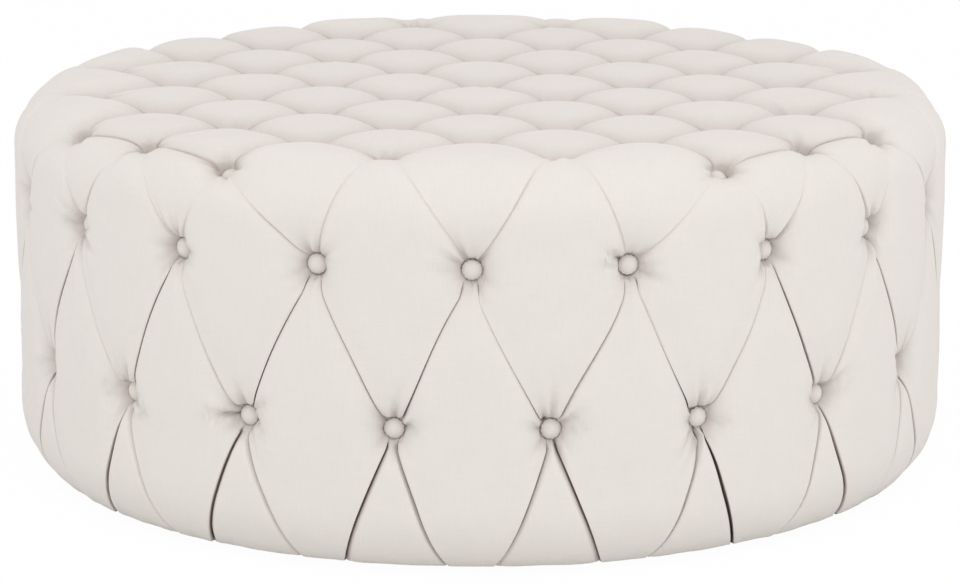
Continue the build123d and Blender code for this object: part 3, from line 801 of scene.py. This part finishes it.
def button_outline():
    """Radius and height of the button's outline, from the middle of its dome to its foot."""
    ball = (BUTTON_RADIUS ** 2 + BUTTON_DOME ** 2) / (2 * BUTTON_DOME)
    rim_top = BUTTON_SEAT + BUTTON_CONE + BUTTON_RIM
    reach = math.asin((BUTTON_RADIUS - BUTTON_ROUNDING / 2) / ball)
    waist_radius, waist_height = WAIST_SHARES
    outline = []
    for share in np.linspace(0, 1, DOME_RINGS + 1)[1:]:
        turn = reach * share
        outline.append((ball * math.sin(turn), rim_top + BUTTON_DOME - ball * (1 - math.cos(turn))))
    outline.append((BUTTON_RADIUS, rim_top - BUTTON_ROUNDING / 4))
    outline.append((BUTTON_RADIUS, rim_top - BUTTON_RIM / 2))
    outline.append((BUTTON_RADIUS - BUTTON_ROUNDING / 3, BUTTON_SEAT + BUTTON_CONE))
    outline.append((BUTTON_RADIUS * waist_radius, BUTTON_SEAT + BUTTON_CONE * waist_height))
    outline.append((BUTTON_FOOT, BUTTON_SEAT))
    return outline


def button_points(place, depth):
    """Points of one button, their places on its cloth, and how many rings they make.

    The first point is the tip of the dome, and the rings run out from it to the foot.
    """
    run = max(np.hypot(*place), TINY)
    _, _, out, up = [float(part) for part in profile(np.array(run))]
    normal = Vector((place[0] / run * out, place[1] / run * out, up))
    origin = Vector(crown_points(place, np.array(depth)))
    tilt = Euler(np.radians(rng.uniform(-BUTTON_TILT, BUTTON_TILT, 3)))
    turn = normal.to_track_quat("Z", "Y").to_matrix() @ tilt.to_matrix()
    gathers = BUTTON_GATHERS + rng.integers(-GATHERS_SPREAD, GATHERS_SPREAD + 1)
    phase = rng.uniform(0, math.tau)
    weave = rng.uniform(0, math.tau)
    outline = button_outline()
    points = [origin + turn @ Vector((0, 0, BUTTON_APEX))]
    cloth = [(0.0, 0.0)]
    travel = 0.0
    last = 0.0, BUTTON_APEX
    for radius, height in outline:
        travel += math.hypot(radius - last[0], height - last[1])
        last = radius, height
        drawn = GATHER_DEPTH * smooth_step(travel, *GATHER_RUN)
        for step in range(BUTTON_SEGMENTS):
            angle = math.tau * step / BUTTON_SEGMENTS
            reach = radius + drawn * math.cos(gathers * angle + phase)
            spoke = Vector((reach * math.cos(angle), reach * math.sin(angle), height))
            points.append(origin + turn @ spoke)
            cloth.append((travel * math.cos(angle + weave), travel * math.sin(angle + weave)))
    return points, cloth, len(outline)


def build_buttons(ring, name):
    """All the covered buttons of one ring as one mesh."""
    points, cloth, faces = [], [], []
    for tuft, place in tufts.items():
        if ring_of(tuft) != ring:
            continue
        base = len(points)
        more, more_cloth, rows = button_points(place, TUFT_DEPTHS[ring])
        points.extend(more)
        cloth.extend(more_cloth)
        around = [(step, (step + 1) % BUTTON_SEGMENTS) for step in range(BUTTON_SEGMENTS)]
        faces.extend((base, base + 1 + a, base + 1 + b) for a, b in around)
        for row in range(rows - 1):
            upper = base + 1 + row * BUTTON_SEGMENTS
            lower = upper + BUTTON_SEGMENTS
            faces.extend((upper + a, lower + a, lower + b, upper + b) for a, b in around)
        foot = base + 1 + (rows - 1) * BUTTON_SEGMENTS
        faces.append([foot + step for step in reversed(range(BUTTON_SEGMENTS))])
    mesh = bpy.data.meshes.new(name)
    mesh.from_pydata(points, [], faces)
    corners = np.array([corner for face in faces for corner in face])
    keep_cloth(mesh, np.array(cloth)[corners], np.zeros(len(corners)))
    return link_mesh(name, mesh)


def shader(owner, kind, **values):
    """A new node of a material or world, with the given values set on its sockets."""
    node = owner.node_tree.nodes.new(kind)
    for key, value in values.items():
        socket = node.inputs.get(key.replace("_", " "))
        if socket is not None:
            socket.default_value = value
        else:
            setattr(node, key, value)
    return node


def new_material(name, surface):
    """A material and its surface shader, with the given values set on the shader's sockets."""
    material = bpy.data.materials.new(name)
    material.use_nodes = True
    body = material.node_tree.nodes["Principled BSDF"]
    for socket, value in surface.items():
        body.inputs[socket].default_value = value
    return material, body


def linen(name, color):
    """Woven cloth: crossed threads, thick and thin stretches of yarn, a soft sheen, and painted
    shade where the cover is sunk.
    """
    material, body = new_material(name, LINEN_SURFACE)
    link = material.node_tree.links.new
    place = shader(material, "ShaderNodeAttribute", attribute_name="cloth")
    layers = []
    for stretch, direction in ((WARP_STRETCH, "X"), (WEFT_STRETCH, "Y")):
        turned = shader(material, "ShaderNodeMapping", Scale=stretch)
        slub = shader(material, "ShaderNodeTexNoise", **SLUBS)
        link(place.outputs["Vector"], turned.inputs["Vector"])
        link(turned.outputs["Vector"], slub.inputs["Vector"])
        threads = shader(material, "ShaderNodeTexWave", bands_direction=direction,
                         Scale=1 / THREAD, **THREAD_WANDER)
        link(place.outputs["Vector"], threads.inputs["Vector"])
        layers.append((slub, threads))
    yarn = shader(material, "ShaderNodeMath", operation="ADD")
    link(layers[0][0].outputs["Fac"], yarn.inputs[0])
    link(layers[1][0].outputs["Fac"], yarn.inputs[1])
    weave = shader(material, "ShaderNodeMath", operation="MULTIPLY")
    link(layers[0][1].outputs["Fac"], weave.inputs[0])
    link(layers[1][1].outputs["Fac"], weave.inputs[1])
    low, high = YARN_RANGE
    shade = shader(material, "ShaderNodeMapRange", From_Min=low, From_Max=high)
    link(yarn.outputs[0], shade.inputs["Value"])
    tint = shader(material, "ShaderNodeMix", data_type="RGBA")
    for socket, light in zip("AB", YARN_SHADES):
        tint.inputs[socket].default_value = (*[share * light for share in color], 1)
    link(shade.outputs["Result"], tint.inputs["Factor"])
    # Painted shade: the colour is multiplied towards a dark brown where the cover is sunk, in
    # hollows, valleys and slits
    painted_shade = shader(material, "ShaderNodeAttribute", attribute_name="painted_shade")
    sunk = shader(material, "ShaderNodeMix", data_type="RGBA", blend_type="MULTIPLY")
    sunk.inputs["B"].default_value = PAINTED_SHADE_COLOR
    link(painted_shade.outputs["Fac"], sunk.inputs["Factor"])
    link(tint.outputs["Result"], sunk.inputs["A"])
    link(sunk.outputs["Result"], body.inputs["Base Color"])
    height = shader(material, "ShaderNodeMath", operation="MULTIPLY_ADD")
    link(yarn.outputs[0], height.inputs[0])
    height.inputs[1].default_value = YARN_LIFT
    link(weave.outputs[0], height.inputs[2])
    bump = shader(material, "ShaderNodeBump", Strength=WEAVE_BUMP, Distance=WEAVE_HEIGHT)
    link(height.outputs[0], bump.inputs["Height"])
    link(bump.outputs["Normal"], body.inputs["Normal"])
    return material


def textured(name, finish):
    """Material whose colour and bump follow one procedural texture over the piece."""
    material, body = new_material(name, finish.surface)
    link = material.node_tree.links.new
    place = shader(material, "ShaderNodeTexCoord")
    turned = shader(material, "ShaderNodeMapping", Scale=finish.stretch)
    pattern = shader(material, "ShaderNodeTex" + finish.texture, **finish.settings)
    low, high = PATTERN_RANGE
    ramp = shader(material, "ShaderNodeMapRange", From_Min=low, From_Max=high)
    tint = shader(material, "ShaderNodeMix", data_type="RGBA")
    tint.inputs["A"].default_value = (*[share * finish.dark for share in finish.color], 1)
    tint.inputs["B"].default_value = (*finish.color, 1)
    bump = shader(material, "ShaderNodeBump", Strength=PATTERN_BUMP, Distance=finish.bump)
    link(place.outputs["Object"], turned.inputs["Vector"])
    link(turned.outputs["Vector"], pattern.inputs["Vector"])
    value = pattern.outputs.get("Fac") or pattern.outputs["Distance"]
    link(value, ramp.inputs["Value"])
    link(ramp.outputs["Result"], tint.inputs["Factor"])
    link(tint.outputs["Result"], body.inputs["Base Color"])
    link(value, bump.inputs["Height"])
    link(bump.outputs["Normal"], body.inputs["Normal"])
    return material


def finish_frame():
    """Gives each node of the frame that stays in view the finish of its slot in the record."""
    materials = {name: textured(name, finish) for name, finish in FINISHES.items()}
    for part in frame["record"]["subparts"]:
        if part["material_slot"] in materials:
            for slot in frame["nodes"][part["node"]].material_slots:
                slot.material = materials[part["material_slot"]]


def make_pieces():
    """The cover and the buttons, each in the place of its solids in the frame."""
    cover = build_cover("linen_cover")
    cover.data.materials.append(linen("linen", LINEN_COLOR))
    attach(cover, "root")
    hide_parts("tufted_cover", "tufted_padding")
    button_cloth = linen("button_linen", BUTTON_COLOR)
    for ring, node in BUTTON_NODES.items():
        group = build_buttons(ring, "covered_" + node)
        group.data.materials.append(button_cloth)
        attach(group, "root")
        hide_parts(node)


def make_floor():
    """White floor that keeps the table's shadow and is white to the camera."""
    side = FLOOR_SIDE / 2
    mesh = bpy.data.meshes.new("floor")
    corners = [(-side, -side, 0), (side, -side, 0), (side, side, 0), (-side, side, 0)]
    mesh.from_pydata(corners, [], [(0, 1, 2, 3)])
    floor = bpy.data.objects.new("floor", mesh)
    bpy.context.scene.collection.objects.link(floor)
    material = bpy.data.materials.new("floor_white")
    material.use_nodes = True
    link = material.node_tree.links.new
    material.node_tree.nodes.clear()
    rays = shader(material, "ShaderNodeLightPath")
    lit = shader(material, "ShaderNodeBsdfDiffuse", Color=(FLOOR_WHITE,) * 3 + (1,))
    glow = shader(material, "ShaderNodeEmission", Strength=1.0)
    share = shader(material, "ShaderNodeMath", operation="MULTIPLY")
    share.inputs[1].default_value = FLOOR_GLOW
    blend = shader(material, "ShaderNodeMixShader")
    output = shader(material, "ShaderNodeOutputMaterial")
    link(rays.outputs["Is Camera Ray"], share.inputs[0])
    link(share.outputs[0], blend.inputs["Fac"])
    link(lit.outputs[0], blend.inputs[1])
    link(glow.outputs[0], blend.inputs[2])
    link(blend.outputs[0], output.inputs["Surface"])
    mesh.materials.append(material)


def make_world():
    """Even white surroundings, plain white to the camera and in reflections."""
    world = bpy.data.worlds.new("studio")
    bpy.context.scene.world = world
    world.use_nodes = True
    link = world.node_tree.links.new
    ground = world.node_tree.nodes["Background"]
    rays = shader(world, "ShaderNodeLightPath")
    seen = shader(world, "ShaderNodeMath", operation="MAXIMUM")
    seen_or_clear = shader(world, "ShaderNodeMath", operation="MAXIMUM")
    strength = shader(world, "ShaderNodeMapRange", To_Min=SKY_STRENGTH, To_Max=1.0)
    link(rays.outputs["Is Camera Ray"], seen.inputs[0])
    link(rays.outputs["Is Glossy Ray"], seen.inputs[1])
    link(seen.outputs[0], seen_or_clear.inputs[0])
    link(rays.outputs["Is Transmission Ray"], seen_or_clear.inputs[1])
    link(seen_or_clear.outputs[0], strength.inputs["Value"])
    link(strength.outputs["Result"], ground.inputs["Strength"])
    ground.inputs["Color"].default_value = (1, 1, 1, 1)


def make_lamp(lamp):
    """Soft square lamp turned to the middle of the table."""
    light = bpy.data.lights.new(lamp.name, "AREA")
    light.size = lamp.size
    light.energy = lamp.power
    holder = bpy.data.objects.new(lamp.name, light)
    holder.location = lamp.place
    way = Vector(LAMP_AIM) - Vector(lamp.place)
    holder.rotation_euler = way.to_track_quat("-Z", "Y").to_euler()
    bpy.context.scene.collection.objects.link(holder)


def make_camera():
    """Long lens in front of the table, looking down a little."""
    camera = bpy.data.cameras.new("camera")
    camera.sensor_width = SENSOR
    camera.lens = FOCAL_PIXELS / PIXEL_WIDTH * SENSOR
    holder = bpy.data.objects.new("camera", camera)
    turn = math.radians(CAMERA_TURN)
    side, back = CAMERA_DISTANCE * math.sin(turn), CAMERA_DISTANCE * math.cos(turn)
    holder.location = side, -back, CAMERA_HEIGHT
    holder.rotation_euler = (math.radians(90 - CAMERA_PITCH), 0, turn)
    bpy.context.scene.collection.objects.link(holder)
    bpy.context.scene.camera = holder


make_pieces()
finish_frame()
make_camera()
make_world()
make_floor()
for studio_lamp in LAMPS:
    make_lamp(studio_lamp)
bpy.context.scene.view_settings.view_transform = "Standard"
